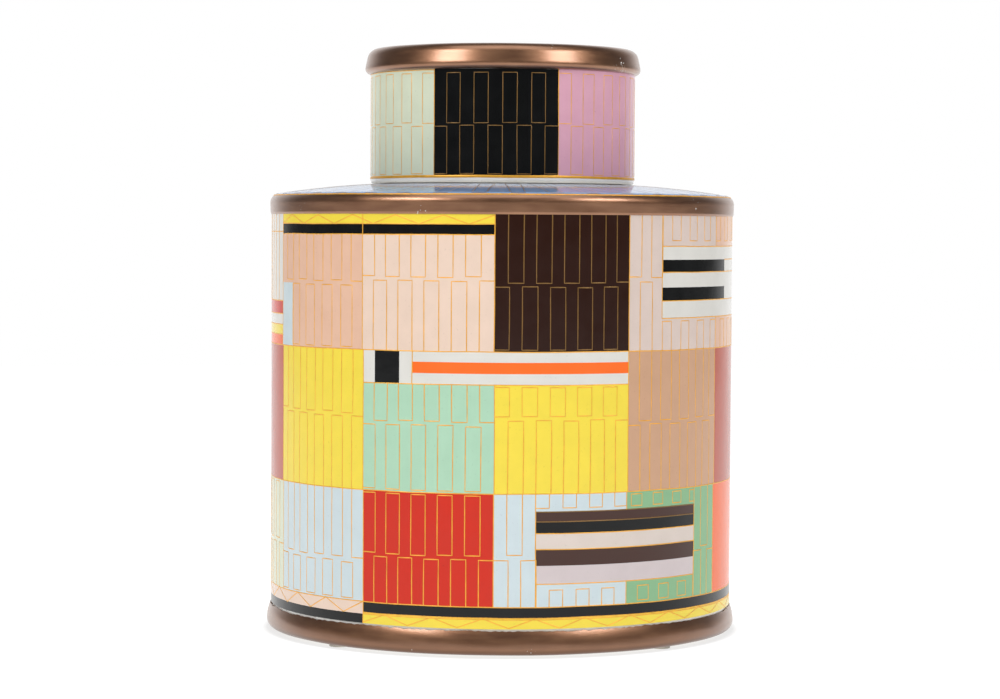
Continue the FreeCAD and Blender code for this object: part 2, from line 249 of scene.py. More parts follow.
def place(tree, stretch=(1, 1, 1)):
    """Object coordinates, stretched for a pattern that runs one way."""
    here = add(tree, "ShaderNodeTexCoord").outputs["Object"]
    return add(tree, "ShaderNodeMapping", {"Vector": here, "Scale": stretch}).outputs[0]


def grain(tree, vector, size_mm, detail=3.0, roughness=0.5):
    """Noise whose features are about size_mm across."""
    settings = {"Vector": vector, "Scale": 1 / (size_mm * MM), "Detail": detail, "Roughness": roughness}
    return add(tree, "ShaderNodeTexNoise", settings).outputs["Fac"]


def spread(tree, value, low, high, start=0.3, end=0.7):
    """Maps a noise value to the range low to high."""
    settings = {"Value": value, "From Min": start, "From Max": end, "To Min": low, "To Max": high}
    return add(tree, "ShaderNodeMapRange", settings).outputs[0]


def blend_colour(tree, share, first, second):
    """Mixes two colours, each a hex code or a socket."""
    first, second = (linear(c) if isinstance(c, str) else c for c in (first, second))
    node = add(tree, "ShaderNodeMix", data_type="RGBA")
    for socket, value in ((node.inputs[0], share), (node.inputs[6], first), (node.inputs[7], second)):
        if isinstance(value, bpy.types.NodeSocket):
            tree.links.new(value, socket)
        else:
            socket.default_value = value
    return node.outputs[2]


def shade(code, factor):
    """The hex colour made lighter or darker."""
    levels = [min(255, round(int(code[i : i + 2], 16) * factor)) for i in (1, 3, 5)]
    return "#{:02x}{:02x}{:02x}".format(*levels)


def fired_enamel(name, code, roughness=0.16, relief=0.03):
    """On-glaze enamel, fired: glass flux with pigment, IOR 1.5, flooded on by hand.

    The colour pools a little unevenly and the surface keeps slow waves, so reflections ripple.
    """
    material, tree = blank(name)
    where = place(tree)
    tone_variation = grain(tree, where, 9, 4)
    colour = blend_colour(tree, spread(tree, tone_variation, 0, 1), shade(code, 0.985), shade(code, 1.01))
    speck = grain(tree, where, 0.9, 1)
    colour = blend_colour(tree, spread(tree, speck, 0, 0.25, 0.68, 0.8), colour, shade(code, 0.8))
    wave = grain(tree, where, 14, 2)
    slow = add(tree, "ShaderNodeBump", {"Height": wave, "Distance": relief * MM * 6, "Strength": 0.5})
    peel = grain(tree, where, 1.6, 2)
    bump = add(
        tree,
        "ShaderNodeBump",
        {"Height": peel, "Distance": relief * MM, "Strength": 0.35, "Normal": slow.outputs[0]},
    )
    gloss = spread(tree, tone_variation, roughness, roughness + 0.07)
    finish_material(
        tree, Base_Color=colour, Roughness=gloss, IOR=1.5, Specular_IOR_Level=0.32, Normal=bump.outputs[0]
    )
    return material


def glazed_porcelain():
    """Porcelain under clear glaze, IOR 1.52: cool white, mirror gloss, a few iron specks.

    The foot ring's underside is wiped free of glaze, so it is matt and warmer.
    """
    material, tree = blank("glazed_porcelain")
    where = place(tree)
    tone = spread(tree, grain(tree, where, 22, 3), 0, 1)
    colour = blend_colour(tree, tone, "#eceae5", "#f4f3ef")
    speck = spread(tree, grain(tree, where, 1.3, 1), 0, 0.7, 0.76, 0.82)
    colour = blend_colour(tree, speck, colour, "#7d6a55")
    height = add(tree, "ShaderNodeSeparateXYZ", {"Vector": where}).outputs["Z"]
    bare = spread(tree, height, 1, 0, (FOOT_LOW + 0.1) * MM, (FOOT_LOW + 0.5) * MM)
    colour = blend_colour(tree, bare, colour, "#d8cdbb")
    gloss = spread(tree, bare, 0.07, 0.6, 0, 1)
    ripples = grain(tree, where, 18, 2)
    wave = add(tree, "ShaderNodeBump", {"Height": ripples, "Distance": 0.1 * MM, "Strength": 0.4})
    finish_material(tree, Base_Color=colour, Roughness=gloss, IOR=1.52, Normal=wave.outputs[0])
    return material


def bronze_lustre():
    """Bronze lustre, a metal film brushed round the ring and fired: satin, streaked, chipped to the white.

    Towards the very foot it is painted darker, a painted shade where the bead turns under.
    """
    material, tree = blank("brushed_bronze_lustre")
    where = place(tree)
    streaks = grain(tree, place(tree, (1, 1, 5)), 11, 4, 0.5)
    cloud = grain(tree, where, 16, 3)
    colour = blend_colour(tree, spread(tree, streaks, 0, 1), "#966a50", "#a5795b")
    colour = blend_colour(tree, spread(tree, cloud, 0, 0.5), colour, "#876147")
    height = add(tree, "ShaderNodeSeparateXYZ", {"Vector": where}).outputs["Z"]
    # Painted shade: the lustre's colour darkens towards the foot's lower edge, standing in for the shade
    # there.
    tone_variation = spread(tree, height, 0.75, 0, (FOOT_LOW + 1) * MM, (FOOT_LOW + 7) * MM)
    colour = blend_colour(tree, tone_variation, colour, "#6a4a36")
    fleck = grain(tree, where, 1.1, 2, 0.6)
    worn = grain(tree, where, 13, 2)
    rare = add(tree, "ShaderNodeMath", {0: fleck, 1: worn}, operation="MULTIPLY").outputs[0]
    chip = spread(tree, rare, 0, 1, 0.455, 0.475)
    colour = blend_colour(tree, chip, colour, "#e8e2da")
    metal = spread(tree, chip, 1, 0, 0, 1)
    gloss = spread(tree, streaks, 0.34, 0.41)
    brush = add(tree, "ShaderNodeBump", {"Height": streaks, "Distance": 0.03 * MM, "Strength": 0.3})
    pit = add(
        tree,
        "ShaderNodeBump",
        {"Height": chip, "Distance": 0.2 * MM, "Strength": 0.7, "Normal": brush.outputs[0]},
        invert=True,
    )
    finish_material(
        tree,
        Base_Color=colour,
        Metallic=metal,
        Roughness=gloss,
        Normal=pit.outputs[0],
        Coat_Weight=0.7,
        Coat_Roughness=0.22,
        Coat_IOR=1.5,
    )
    return material


def fired_gold(name, code):
    """Thin gold, piped on by hand as a raised line and fired: part metal, part flux.

    The enamel beneath shows through, so it is a bright amber on pale fields and a dim one on dark ones.
    """
    material, tree = blank(name)
    where = place(tree)
    rubbed = grain(tree, where, 3, 3)
    colour = blend_colour(tree, spread(tree, rubbed, 0, 1), shade(code, 0.95), shade(code, 1.04))
    finish_material(tree, Base_Color=colour, Metallic=0.3, Roughness=spread(tree, rubbed, 0.3, 0.45))
    return material


def wool_felt():
    """Pressed wool felt: matt off-white, with a soft sheen from its standing fibres."""
    material, tree = blank("wool_felt")
    where = place(tree)
    fibre = grain(tree, where, 0.5, 5, 0.7)
    colour = blend_colour(tree, spread(tree, fibre, 0, 1), "#c9c2b6", "#e2ddd3")
    fuzz = add(tree, "ShaderNodeBump", {"Height": fibre, "Distance": 0.25 * MM, "Strength": 0.8})
    finish_material(
        tree, Base_Color=colour, Roughness=0.95, Sheen_Weight=0.4, Sheen_Roughness=0.5, Normal=fuzz.outputs[0]
    )
    return material


def moulded_silicone():
    """Moulded silicone rubber, IOR 1.41: milky and slightly dusty."""
    material, tree = blank("moulded_silicone")
    dust = grain(tree, place(tree), 2.5, 4)
    colour = blend_colour(tree, spread(tree, dust, 0, 1), "#d5d3cc", "#e6e4de")
    finish_material(tree, Base_Color=colour, Roughness=spread(tree, dust, 0.42, 0.58), IOR=1.41)
    return material


ENAMELS = {
    "tan": "#e5bba1",
    "blush": "#ead0be",
    "cocoa": "#2b1209",
    "pearl": "#dbc9c0",
    "shell": "#dccfc6",
    "white": "#dedcd6",
    "yellow": "#f4db4a",
    "mint": "#aed5b9",
    "clay": "#cda284",
    "rose": "#bc5844",
    "sky": "#ccdadf",
    "red": "#d02810",
    "green": "#8bb98d",
    "coral": "#f76e34",
    "orange": "#ff7128",
    "black": "#08090a",
    "brown": "#462d26",
    "lilac": "#d1c5c6",
    "pale_mint": "#d9dfc6",
    "orchid": "#e0a9bb",
}
DOME_BLUE = "#8ba6cf"
DARK_ENAMELS = ("black", "cocoa", "brown")


# ---------------------------------------------------------------- outlines and meshes


def arc(centre, radius, start, end, step=5.0):
    """Points of an arc about (r, z), between two angles in degrees."""
    count = max(2, math.ceil(abs(end - start) / step))
    turns = [math.radians(start + (end - start) * i / count) for i in range(count + 1)]
    return [(centre[0] + radius * math.cos(t), centre[1] + radius * math.sin(t)) for t in turns]


def spot(radius, degrees, height):
    """A point in metres, with 0 degrees at the front and positive degrees to the right."""
    turn = math.radians(degrees)
    return Vector((radius * math.sin(turn), -radius * math.cos(turn), height)) * MM


def ripple(degrees, size, seed):
    """A smooth value from about -1 to 1 that closes on itself round the ring."""
    turn = math.radians(degrees)
    return noise.noise(Vector((math.cos(turn) / size, math.sin(turn) / size, seed)))


def new_piece(name, points, faces, material, body, slot, *nodes, smooth_angle=35):
    """A finished piece at the origin, with its body and the node that it stands for. Its slot is not used."""
    mesh = bpy.data.meshes.new(name)
    mesh.from_pydata([tuple(p) for p in points], [], faces)
    mesh.materials.append(material)
    return finish_piece(mesh, name, body, slot, *nodes, smooth_angle=smooth_angle)


def finish_piece(mesh, name, body, slot, *nodes, smooth_angle=35):
    """Makes an object of a mesh, hangs it under its body's empty and hides the nodes that it stands for."""
    mesh.validate()
    mesh.shade_smooth()
    mesh.set_sharp_from_angle(angle=math.radians(smooth_angle))
    piece = bpy.data.objects.new(name, mesh)
    bpy.context.collection.objects.link(piece)
    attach(piece, body)
    if nodes:
        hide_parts(*nodes)
    return piece


def measured(outline):
    """The distances along an outline to each of its points."""
    lengths = [0.0]
    for (r0, z0), (r1, z1) in zip(outline, outline[1:]):
        lengths.append(lengths[-1] + math.hypot(r1 - r0, z1 - z0))
    return lengths


def along(outline, lengths, distance):
    """The point and outward normal of an outline at a distance along it."""
    index = 0
    while index < len(lengths) - 2 and lengths[index + 1] < distance:
        index += 1
    (r0, z0), (r1, z1) = outline[index], outline[index + 1]
    run = lengths[index + 1] - lengths[index]
    share = (distance - lengths[index]) / run
    return (r0 + (r1 - r0) * share, z0 + (z1 - z0) * share), ((z1 - z0) / run, -(r1 - r0) / run)


def brushed_band(name, outline, body, node, edge, sag, depth=LUSTRE, rings=22, around=720):
    """A closed skin of lustre along an outline, whose upper edge wanders as a brush leaves it.

    edge gives how far that edge is drawn in at an angle, and sag how far the skin rises and dips.
    """
    lengths = measured(outline)
    points, faces = [], []
    for step in range(around):
        degrees = 360 * step / around
        end = lengths[-1] - edge(degrees)
        ring = []
        for i in range(rings + 1):
            share = i / rings
            (r, z), (nr, nz) = along(outline, lengths, end * share)
            dip = sag * ripple(degrees + 40 * share, 0.35, 5.0 + z / 30)
            ring.append((r + nr * dip, z + nz * dip, nr, nz))
        for r, z, nr, nz in ring:
            points.append(spot(r, degrees, z))
        for r, z, nr, nz in reversed(ring):
            points.append(spot(r - nr * depth, degrees, z - nz * depth))
    size = 2 * (rings + 1)
    for step in range(around):
        here, there = step * size, (step + 1) % around * size
        for i in range(size):
            j = (i + 1) % size
            faces.append((here + i, there + i, there + j, here + j))
    return new_piece(name, points, faces, LUSTRE_FINISH, body, "bronze_lustre", node, smooth_angle=60)


def tile_into(points, faces, skin, left, right, low, high, around, up=1):
    """Adds one closed curved tile. skin gives the outer and inner point at (degrees, height)."""
    across = max(1, math.ceil((right - left) / around))
    first = len(points)
    for layer in (0, 1):
        for i in range(across + 1):
            degrees = left + (right - left) * i / across
            for j in range(up + 1):
                points.append(skin(degrees, low + (high - low) * j / up)[layer])

    def corner(layer, i, j):
        return first + layer * (across + 1) * (up + 1) + i * (up + 1) + j

    for i in range(across):
        for j in range(up):
            outer = [corner(0, i, j), corner(0, i + 1, j), corner(0, i + 1, j + 1), corner(0, i, j + 1)]
            inner = [corner(1, i, j), corner(1, i, j + 1), corner(1, i + 1, j + 1), corner(1, i + 1, j)]
            faces.extend((outer, inner))
        faces.append((corner(0, i + 1, 0), corner(0, i, 0), corner(1, i, 0), corner(1, i + 1, 0)))
        faces.append((corner(0, i, up), corner(0, i + 1, up), corner(1, i + 1, up), corner(1, i, up)))
    for j in range(up):
        faces.append((corner(0, 0, j), corner(0, 0, j + 1), corner(1, 0, j + 1), corner(1, 0, j)))
        right_end = [(0, across, j + 1), (0, across, j), (1, across, j), (1, across, j + 1)]
        faces.append([corner(*place) for place in right_end])


class Decoration:
    """The enamel fields and gold paths of one surface, gathered first and fired last."""

    def __init__(self, prefix, body, node, skin, around):
        self.prefix = prefix
        self.body = body
        self.node = node
        self.skin = skin  # gives the outer and inner point of the enamel
        self.around = around  # degrees between the mesh's steps
        self.fields = {}
        self.paths = {}
        self.tone = "gold"  # the gold that the next path is drawn in

    def field(self, enamel, left, right, low, high, up=1):
        """One enamel field between two angles and two heights."""
        points, faces = self.fields.setdefault(enamel, ([], []))
        tile_into(points, faces, self.skin, left, right, low, high, self.around, up)

    def path(self, *corners, closed=False):
        """A gold line through corners given as (degrees, height), straight on the surface between them."""
        stops = list(corners) + ([corners[0]] if closed else [])
        line = []
        for (a0, h0), (a1, h1) in zip(stops, stops[1:]):
            a1 += 360 * round((a0 - a1) / 360)
            count = max(1, math.ceil(abs(a1 - a0) / self.around), math.ceil(abs(h1 - h0) / LINE_STEP))
            line += [(a0 + (a1 - a0) * i / count, h0 + (h1 - h0) * i / count) for i in range(count)]
        if not closed:
            line.append(stops[-1])
        self.paths.setdefault(self.tone, []).append((line, closed))

    def hoop(self, height, count, start=0.0):
        """A gold line all round, through count corners."""
        self.path(*[(start + 360.0 * i / count, height) for i in range(count)], closed=True)

    def stave(self, left, right, low, high, open_side=None, edge=None):
        """A stave's outline. open_side is the end it runs out at, edge the side a border already draws."""
        near, far = (right, left) if edge == "right" else (left, right)
        if open_side is None and edge is None:
            self.path((left, low), (right, low), (right, high), (left, high), closed=True)
        elif open_side is None:
            self.path((near, low), (far, low), (far, high), (near, high))
        else:
            start, end = (high, low) if open_side == "top" else (low, high)
            if edge is None:
                self.path((left, start), (left, end), (right, end), (right, start))
            else:
                self.path((near, end), (far, end), (far, start))

    def fire(self, width, proud=LINE_PROUD):
        """Makes the pieces: one for each enamel, and one for each tone of gold."""
        for enamel, (points, faces) in self.fields.items():
            name = f"{self.prefix}_enamel_{enamel}"
            slot = "blue_enamel" if enamel == "blue" else "enamel_transfer"
            new_piece(name, points, faces, FINISHES[enamel], self.body, slot, self.node)
        for tone, paths in self.paths.items():
            lay_gold(f"{self.prefix}_{tone}_lines", paths, self, width, tone, proud)


def gold_line_tree():
    """Lays a crowned gold line along every path of a mesh made of edges, with a slight hand wander."""
    tree = bpy.data.node_groups.new("gold_line", "GeometryNodeTree")
    for name, kind in (
        ("Paths", "NodeSocketGeometry"),
        ("Width", "NodeSocketFloat"),
        ("Proud", "NodeSocketFloat"),
        ("Wander", "NodeSocketFloat"),
        ("Material", "NodeSocketMaterial"),
    ):
        tree.interface.new_socket(name=name, in_out="INPUT", socket_type=kind)
    tree.interface.new_socket(name="Lines", in_out="OUTPUT", socket_type="NodeSocketGeometry")
    given = add(tree, "NodeGroupInput")
    curve = add(tree, "GeometryNodeMeshToCurve", {"Mesh": given.outputs["Paths"]})
    outward = add(tree, "GeometryNodeInputNamedAttribute", {"Name": "outward"}, data_type="FLOAT_VECTOR")
    away = outward.outputs[0]
    drift = add(tree, "ShaderNodeTexNoise", {"Scale": 38.0, "Detail": 1.0})
    vector = "ShaderNodeVectorMath"
    centred = add(tree, vector, {0: drift.outputs["Color"], 1: (0.5, 0.5, 0.5)}, operation="SUBTRACT")
    push = add(tree, vector, {0: centred.outputs[0], "Scale": given.outputs["Wander"]}, operation="SCALE")
    # The line wanders along the surface only, so what would lift it off is taken away.
    lift = add(tree, vector, {0: push.outputs[0], 1: away}, operation="DOT_PRODUCT")
    off = add(tree, vector, {0: away, "Scale": lift.outputs["Value"]}, operation="SCALE")
    slide = add(tree, vector, {0: push.outputs[0], 1: off.outputs[0]}, operation="SUBTRACT")
    moved = add(tree, "GeometryNodeSetPosition", {"Geometry": curve.outputs[0], "Offset": slide.outputs[0]})
    level = {"Curve": moved.outputs[0], "Normal": away}
    turned = add(tree, "GeometryNodeSetCurveNormal", level, mode="FREE")
    ring = add(tree, "GeometryNodeCurvePrimitiveCircle", {"Resolution": 8, "Radius": 1.0})
    flatten = {"X": given.outputs["Proud"], "Y": given.outputs["Width"], "Z": 1.0}
    shape = add(tree, "ShaderNodeCombineXYZ", flatten)
    crown = add(tree, "GeometryNodeTransform", {"Geometry": ring.outputs[0], "Scale": shape.outputs[0]})
    sweep = {"Curve": turned.outputs[0], "Profile Curve": crown.outputs[0], "Fill Caps": True}
    swept = add(tree, "GeometryNodeCurveToMesh", sweep)
    whole = add(tree, "GeometryNodeRealizeInstances", {"Geometry": swept.outputs[0]})
    gilding = {"Geometry": whole.outputs[0], "Material": given.outputs["Material"]}
    gilt = add(tree, "GeometryNodeSetMaterial", gilding)
    add(tree, "NodeGroupOutput", {"Lines": gilt.outputs[0]})
    return tree


def lay_gold(name, paths, surface, width, tone="gold", proud=LINE_PROUD):
    """Turns paths gathered on a surface into one gold piece."""
    points, edges, normals = [], [], []
    for line, closed in paths:
        first = len(points)
        for degrees, height in line:
            outer, inner = surface.skin(degrees, height)
            points.append(outer)
            normals.append((outer - inner).normalized())
        edges += [(first + i, first + i + 1) for i in range(len(line) - 1)]
        if closed:
            edges.append((len(points) - 1, first))
    mesh = bpy.data.meshes.new(f"{name}_paths")
    mesh.from_pydata([tuple(p) for p in points], edges, [])
    attribute = mesh.attributes.new("outward", "FLOAT_VECTOR", "POINT")
    attribute.data.foreach_set("vector", [c for n in normals for c in n])
    carrier = bpy.data.objects.new(f"{name}_paths", mesh)
    bpy.context.collection.objects.link(carrier)
    modifier = carrier.modifiers.new("gold_line", "NODES")
    modifier.node_group = GOLD_LINE
    values = {
        "Width": width / 2 * MM,
        "Proud": proud * MM,
        "Wander": LINE_WANDER * MM,
        "Material": FINISHES[tone],
    }
    for item in GOLD_LINE.interface.items_tree:
        if item.in_out == "INPUT" and item.name in values:
            modifier[item.identifier] = values[item.name]
    evaluated = carrier.evaluated_get(bpy.context.evaluated_depsgraph_get())
    result = bpy.data.meshes.new_from_object(evaluated)
    result.name = name
    bpy.data.objects.remove(carrier)
    if "outward" in result.attributes:
        result.attributes.remove(result.attributes["outward"])
    return finish_piece(result, name, surface.body, "bronze_lustre", surface.node, smooth_angle=70)


# ---------------------------------------------------------------- the wall's plan


def wall_skin(degrees, height):
    """Outer and inner point of the wall's enamel."""
    return spot(WALL_R, degrees, height), spot(WALL_R - ENAMEL, degrees, height)


def stave_edge(row, stave):
    """The angle of a stave's left edge. The last column takes up what the pitch leaves over."""
    last = LAST_COLUMN * STAVES
    if stave <= last:
        return FRONT_EDGE[row] + stave * PITCH[row]
    start = FRONT_EDGE[row] + last * PITCH[row]
    seam = FRONT_EDGE[row] + FIRST_COLUMN * STAVES * PITCH[row] + 360
    return start + (stave - last) * (seam - start) / STAVES


def column_edges(row, column):
    """The first and last angle of a column."""
    return stave_edge(row, column * STAVES), stave_edge(row, (column + 1) * STAVES)


def split_of(row, column, shift=0.0):
    """Where a column's upper staves end and its lower ones begin."""
    middle = ROW_SPLIT[row] + (SPLIT_SHIFT[row] if (row + column) % 2 == 0 else -SPLIT_SHIFT[row]) + shift
    return middle + SPLIT_GAP / 2, middle - SPLIT_GAP / 2


def lay_staves(wall, row, column, closed="", high=None, shift=0.0, only=range(STAVES), skip_low=0):
    """Outlines a column's staves. Upper and lower ones take turns, from column to column and row to row.

    closed names the ends where a stave's outline stops short of the row's edge and is closed. The lower
    staves before skip_low are left out.
    """
    low = ROW_LOW[row]
    high = ROW_HIGH[row] if high is None else high
    upper_end, lower_end = split_of(row, column, shift)
    for stave in only:
        number = column * STAVES + stave
        lap = OVERLAP * PITCH[row]
        left = stave_edge(row, number) - lap * (stave > 0)
        right = stave_edge(row, number + 1) + lap * (stave < STAVES - 1)
        edge = {0: "left", STAVES - 1: "right"}.get(stave)
        slip = chance.uniform(-SLIP, SLIP)
        if (number + column + row) % 2 == 0:
            top = high - CLOSE_BY if "high" in closed else high
            wall.stave(left, right, upper_end + slip, top, None if "high" in closed else "top", edge)
        elif stave >= skip_low:
            foot = low + CLOSE_BY if "low" in closed else low
            wall.stave(left, right, foot, lower_end + slip, None if "low" in closed else "bottom", edge)


def lay_column(wall, row, column, enamel, closed, shift):
    """A whole column of one row: its field and, unless it is plain, its staves."""
    left, right = column_edges(row, column)
    wall.field(enamel, left, right, ROW_LOW[row], ROW_HIGH[row])
    if closed != "plain":
        wall.tone = "dim_gold" if enamel in DARK_ENAMELS else "gold"
        lay_staves(wall, row, column, closed, shift=shift)
        wall.tone = "gold"


def lay_bars(wall, left, right, bars, lined=True):
    """Level bars from the top down, with a gold line under each but the brown ones.

    bars lists each enamel with its top, and ends with the last one's bottom.
    """
    for (enamel, high), (_, low) in zip(bars, bars[1:]):
        wall.field(enamel, left, right, low, high)
        if lined and enamel != "brown":
            wall.path((left, low), (right, low))


def lay_zigzag(wall, left, right, low, high, period=12.0):
    """A gold zigzag along a narrow band."""
    count = max(2, round((right - left) / (period / 2)))
    stops = [left + (right - left) * i / count for i in range(count + 1)]
    wall.path(*[(a, high if i % 2 else low) for i, a in enumerate(stops)])


def make_wall():
    """The wall's three rows and its borders."""
    wall = Decoration("wall", "jar", "wall_transfer", wall_skin, 1.65)
    for (row, column), (enamel, closed) in PLAIN_COLUMNS.items():
        lay_column(wall, row, column, enamel, closed, LOWERED_SPLIT.get((row, column), 0.0))
    lay_headed_columns(wall)
    lay_striped_column(wall)
    lay_barred_panel(wall)
    lay_white_strip(wall)
    lay_layered_panel(wall)
    lay_foot_border(wall)
    for row in (1, 2, 3):
        for column in range(FIRST_COLUMN, LAST_COLUMN + 1):
            edge = stave_edge(row, column * STAVES)
            for low, high in BROKEN_BORDERS.get((row, column), [(ROW_LOW[row], ROW_HIGH[row])]):
                wall.path((edge, low), (edge, high))
    for height in ROW_LOW.values():
        wall.hoop(height, 24)
    wall.fire(LINE_WIDTH)


def lay_headed_columns(wall):
    """Two columns of the upper row under a black bar and a yellow border with a zigzag."""
    inset_edge = stave_edge(1, -2 * STAVES + 2)
    for column, enamel, closed in ((-2, "tan", "low"), (-1, "blush", "")):
        left, right = column_edges(1, column)
        start = inset_edge if column == -2 else left
        wall.field(enamel, start, right, ROW_LOW[1], HEAD_LOW)
        lay_staves(wall, 1, column, closed, high=HEAD_LOW, skip_low=2 if column == -2 else 0)
        lay_bars(wall, left, right, [("yellow", WALL_TOP), ("black", HEAD_MIDDLE), ("", HEAD_LOW)])
    left, right = column_edges(1, -2)[0], column_edges(1, -1)[1]
    lay_zigzag(wall, left, right, HEAD_MIDDLE, WALL_TOP - BORDER_GAP)
    wall.field("tan", left, inset_edge, INSET_TOP, HEAD_LOW)
    wall.field("sky", left, inset_edge, ROW_LOW[1], INSET_TOP)
    wall.path((inset_edge, ROW_LOW[1]), (inset_edge, INSET_TOP))


def lay_striped_column(wall):
    """The upper row's left column: white, with bars low on it."""
    left, right = column_edges(1, -3)
    lay_bars(wall, left, right, STRIPES + [("", ROW_LOW[1])])
    for stave in range(1, STAVES):
        edge = stave_edge(1, -3 * STAVES + stave)
        wall.path((edge, STRIPES[1][1]), (edge, WALL_TOP))
    wall.path((left, STRIPES_LINE), (right, STRIPES_LINE))


def lay_barred_panel(wall):
    """A white panel with two black bars, set across two columns of the upper row."""
    start, end = STAVES + 3, 2 * STAVES + 2
    left, right = stave_edge(1, start), stave_edge(1, end)
    column_left, column_right = column_edges(1, 1)[0], column_edges(1, 2)[1]
    middle = column_edges(1, 2)[0]
    wall.field("pearl", column_left, left, ROW_LOW[1], WALL_TOP)
    wall.field("pearl", left, middle, PANEL_TOP, WALL_TOP)
    wall.field("pearl", left, middle, ROW_LOW[1], PANEL_LOW)
    wall.field("tan", middle, column_right, PANEL_TOP, WALL_TOP)
    wall.field("tan", middle, column_right, ROW_LOW[1], PANEL_LOW)
    for (enamel, high), (_, low) in zip(PANEL_BARS, PANEL_BARS[1:] + [("", PANEL_LOW)]):
        end_of_bar = right if enamel == "black" else column_right
        wall.field(enamel, left, end_of_bar, low, high)
        if enamel == "black":
            wall.field("white", right, column_right, low, high)
    for line_start, bar in ((right, 1), (left, 2), (left, 4)):
        wall.path((line_start, PANEL_BARS[bar][1]), (column_right, PANEL_BARS[bar][1]))
    wall.path((left, PANEL_LOW), (column_right, PANEL_LOW))
    wall.path((left, PANEL_TOP), (column_right, PANEL_TOP))
    wall.path((left, PANEL_LOW), (left, WALL_TOP))
    lay_staves(wall, 1, 1, only=range(3))
    for stave in range(start, 3 * STAVES):
        a, b = stave_edge(1, stave) + 0.1, stave_edge(1, stave + 1) - 0.1
        if stave % 2 == 0:
            wall.stave(a, b, PANEL_TOP + PANEL_HEAD_GAP, WALL_TOP, "top")
        else:
            wall.stave(a, b, ROW_LOW[1], PANEL_LOW - PANEL_FOOT_GAP, "bottom")


def lay_white_strip(wall):
    """Two columns of the middle row under a white strip, with a black square and a long orange bar."""
    left, right = column_edges(2, -1)[0], column_edges(2, 0)[1]
    square, square_end, bar = (stave_edge(2, -STAVES + n) for n in (1, 3, 4))
    high = ROW_HIGH[2]
    wall.field("white", left, square, STRIP_LOW, high)
    wall.field("black", square, square_end, STRIP_LOW, high)
    wall.field("white", square_end, bar, STRIP_LOW, high)
    bars = [("white", high), ("orange", STRIP_BAR_HIGH), ("white", STRIP_BAR_LOW), ("", STRIP_LOW)]
    lay_bars(wall, bar, right, bars, lined=False)
    wall.path((left, STRIP_LOW), (right, STRIP_LOW))
    wall.path((bar, STRIP_LOW), (bar, high))
    for column, enamel, closed in ((-1, "mint", "low"), (0, "yellow", "high")):
        edges = column_edges(2, column)
        wall.field(enamel, *edges, ROW_LOW[2], STRIP_LOW)
        lay_staves(wall, 2, column, closed, high=STRIP_LOW)


def lay_layered_panel(wall):
    """A panel of five layers, set across two columns of the lowest row.

    The gold above and below its first brown layer is the dim one.
    """
    start, end = 3, STAVES + 7
    left, right = stave_edge(3, start), stave_edge(3, end)
    middle = column_edges(3, 1)[0]
    for enamel, a, b in (("sky", column_edges(3, 0)[0], left), ("green", right, column_edges(3, 1)[1])):
        wall.field(enamel, a, b, ROW_LOW[3], ROW_HIGH[3])
    for enamel, a, b in (("sky", left, middle), ("green", middle, right)):
        wall.field(enamel, a, b, LAYERS_TOP, ROW_HIGH[3])
        wall.field(enamel, a, b, ROW_LOW[3], LAYERS_LOW)
    lay_bars(wall, left, right, LAYERS)
    wall.tone = "dim_gold"
    for _, height in LAYERS[:2]:
        wall.path((left, height), (right, height))
    wall.tone = "gold"
    wall.path((left, ROW_LOW[3]), (left, ROW_HIGH[3]))
    wall.path((right, ROW_LOW[3]), (right, ROW_HIGH[3]))
    lay_staves(wall, 3, 0, only=range(3), shift=1.4)
    lay_staves(wall, 3, 1, only=range(7, STAVES))
    for stave in (3, 5, 7, 9):
        a, b = stave_edge(3, stave), stave_edge(3, stave + 1)
        wall.stave(a, b, LAYERS_TOP + LAYERS_HEAD_GAP, ROW_HIGH[3], "top")
    for stave in (4, 6, 8):
        a, b = stave_edge(3, stave), stave_edge(3, stave + 1)
        wall.stave(a, b, ROW_LOW[3], LAYERS_LOW - LAYERS_FOOT_GAP, "bottom")
    # The staves over the green are closed all round, so they stand clear of the panel and of the row's edges.
    for stave in (0.4, 2.4, 4.4, 6.4):
        a, b = stave_edge(3, STAVES + stave), stave_edge(3, STAVES + min(stave + 0.95, 7))
        wall.stave(a, b, LAYERS_TOP + 1.3, ROW_HIGH[3] - 1.1)
    for stave in (1, 3, 5):
        a, b = stave_edge(3, STAVES + stave), stave_edge(3, STAVES + stave + 1)
        wall.stave(a, b, ROW_LOW[3] + 1.2, LAYERS_LOW - 2.2)


def lay_foot_border(wall):
    """A black line and a zigzag border above the foot. They change places at one column's edge."""
    turn = stave_edge(3, -STAVES)
    back = stave_edge(3, 4 * STAVES)
    high = ROW_LOW[3]
    wall.field("black", turn, back, FOOT_LINE, high)
    wall.field("yellow", turn, back, WALL_EDGE, FOOT_LINE)
    wall.path((turn, FOOT_LINE), (back, FOOT_LINE))
    lay_zigzag(wall, turn, back, WALL_EDGE + BORDER_GAP, FOOT_LINE - 0.3)
    wall.field("black", back, turn + 360, WALL_EDGE, BACK_FOOT_LINE)
    wall.field("blush", back, turn + 360, BACK_FOOT_LINE, high)
    wall.path((back, BACK_FOOT_LINE), (turn + 360, BACK_FOOT_LINE))
    lay_zigzag(wall, back, turn + 360, BACK_FOOT_LINE, high)
    for edge in (turn, back):
        wall.path((edge, WALL_EDGE), (edge, high))


# ---------------------------------------------------------------- the shoulder and the cap


def dome_height(radius):
    """The height of the shoulder's dome at a radius."""
    rise, run = DOME_TOP - DOME_LOW, DOME_R - DOME_IN
    half = math.hypot(rise, run) / 2
    reach_in = math.sqrt(DOME_CROWN**2 - half**2)
    centre_r = (DOME_R + DOME_IN) / 2 - rise / (2 * half) * reach_in
    centre_z = (DOME_LOW + DOME_TOP) / 2 - run / (2 * half) * reach_in
    return centre_z + math.sqrt(DOME_CROWN**2 - (radius - centre_r) ** 2)


